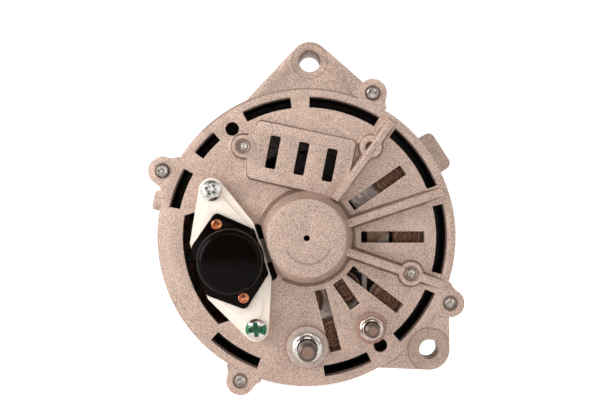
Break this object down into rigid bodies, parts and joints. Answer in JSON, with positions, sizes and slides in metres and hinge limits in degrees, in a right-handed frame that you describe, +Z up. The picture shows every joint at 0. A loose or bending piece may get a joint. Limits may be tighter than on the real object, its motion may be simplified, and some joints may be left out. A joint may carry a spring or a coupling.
{
  "type": "alternator",
  "caption": "Belt-driven claw-pole alternator with vented cast housings, V pulley, external fan and rear-mounted brush holder with regulator.",
  "frame": {"origin": "centre of the upper pivot ear's bore, at its rear mouth", "axes": "+Y along the shaft from the terminals to the pulley, +Z up through the pivot ear, +X to the right seen from the terminal side"},
  "size_m": [0.1394, 0.1486, 0.1575],
  "materials": {
    "cast_aluminium": "sand-cast, fine grain, lightly blasted",
    "laminated_steel": "varnished laminations",
    "enamelled_copper": "enamelled and varnished",
    "zinc_steel": "zinc plated",
    "bright_steel": "nickel plated",
    "forged_steel": "machined and lightly rusted",
    "shaft_steel": "ground",
    "bobbin_plastic": "glass-filled nylon",
    "dark_moulding": "phenolic moulding",
    "copper": "turned copper",
    "bearing_steel": "polished",
    "cage_steel": "pressed brass",
    "seal_rubber": "moulded rubber",
    "fan_paint": "black painted sheet",
    "pulley_steel": "turned steel",
    "heat_sink": "stamped plate",
    "diode_copper": "copper can with baked lacquer",
    "bus_brass": "stamped strip",
    "ivory_moulding": "moulded nylon",
    "black_moulding": "semi-gloss moulding",
    "rivet_copper": "upset copper",
    "pink_fibre": "fibre washer",
    "carbon": "pressed carbon and copper",
    "spring_steel": "drawn wire"
  },
  "bodies": {
    "housing": {"rear_housing": "cast_aluminium", "front_housing": "cast_aluminium", "stator_core": "laminated_steel", "stator_winding": "enamelled_copper", "through_bolts": "zinc_steel", "rear_bearing_outer_race": "bearing_steel", "front_bearing_outer_race": "bearing_steel", "bearing_seals": "seal_rubber", "bearing_retainer": "zinc_steel", "retainer_screws": "zinc_steel", "negative_heat_sink": "heat_sink", "positive_heat_sink": "heat_sink", "negative_diodes": "diode_copper", "positive_diodes": "diode_copper", "exciter_diodes": "dark_moulding", "exciter_bus": "bus_brass", "connector_frame": "dark_moulding", "rectifier_screws": "zinc_steel", "output_stud": "bright_steel", "output_insulator": "dark_moulding", "output_washer": "zinc_steel", "output_nut": "bright_steel", "field_stud": "bright_steel", "field_insulator": "pink_fibre", "field_nut": "bright_steel", "brush_holder": "ivory_moulding", "regulator_plate": "black_moulding", "regulator_cap": "black_moulding", "regulator_rivets": "rivet_copper", "regulator_screws": "bright_steel", "rear_brush_spring": "spring_steel", "front_brush_spring": "spring_steel"},
    "rotor": {"rotor_shaft": "shaft_steel", "rear_claw_pole": "forged_steel", "front_claw_pole": "forged_steel", "coil_bobbin": "bobbin_plastic", "field_coil": "enamelled_copper", "slip_ring_carrier": "dark_moulding", "slip_rings": "copper", "rear_bearing_inner_race": "bearing_steel", "front_bearing_inner_race": "bearing_steel", "spacer_collar": "shaft_steel", "cooling_fan": "fan_paint", "drive_pulley": "pulley_steel", "woodruff_key": "shaft_steel", "pulley_washer": "zinc_steel", "pulley_nut": "bright_steel"},
    "rear_cage": {"rear_bearing_balls": "bearing_steel", "rear_bearing_cage": "cage_steel"},
    "front_cage": {"front_bearing_balls": "bearing_steel", "front_bearing_cage": "cage_steel"},
    "rear_brush": {"rear_brush": "carbon"},
    "front_brush": {"front_brush": "carbon"}
  },
  "joints": [
    {"name": "rotor_spin", "type": "hinge", "parent": "housing", "child": "rotor", "pos_m": [-0.0017, -0.035, -0.0806], "axis": [0, 1, 0], "continuous": true},
    {"name": "rear_cage_spin", "type": "hinge", "parent": "housing", "child": "rear_cage", "pos_m": [-0.0017, -0.035, -0.0806], "axis": [0, 1, 0], "continuous": true},
    {"name": "front_cage_spin", "type": "hinge", "parent": "housing", "child": "front_cage", "pos_m": [-0.0017, -0.035, -0.0806], "axis": [0, 1, 0], "continuous": true},
    {"name": "rear_brush_slide", "type": "slide", "parent": "housing", "child": "rear_brush", "axis": [-0.9511, 0, -0.309], "range_m": [0, 0.005], "stiffness_N_per_m": 60, "springref_m": -0.006, "deforming": ["rear_brush_spring"]},
    {"name": "front_brush_slide", "type": "slide", "parent": "housing", "child": "front_brush", "axis": [-0.9511, 0, -0.309], "range_m": [0, 0.005], "stiffness_N_per_m": 60, "springref_m": -0.006, "deforming": ["front_brush_spring"]}
  ],
  "couplings": [
    {"joint": "rear_cage_spin", "follows": "rotor_spin", "ratio": 0.38},
    {"joint": "front_cage_spin", "follows": "rotor_spin", "ratio": 0.403}
  ]
}
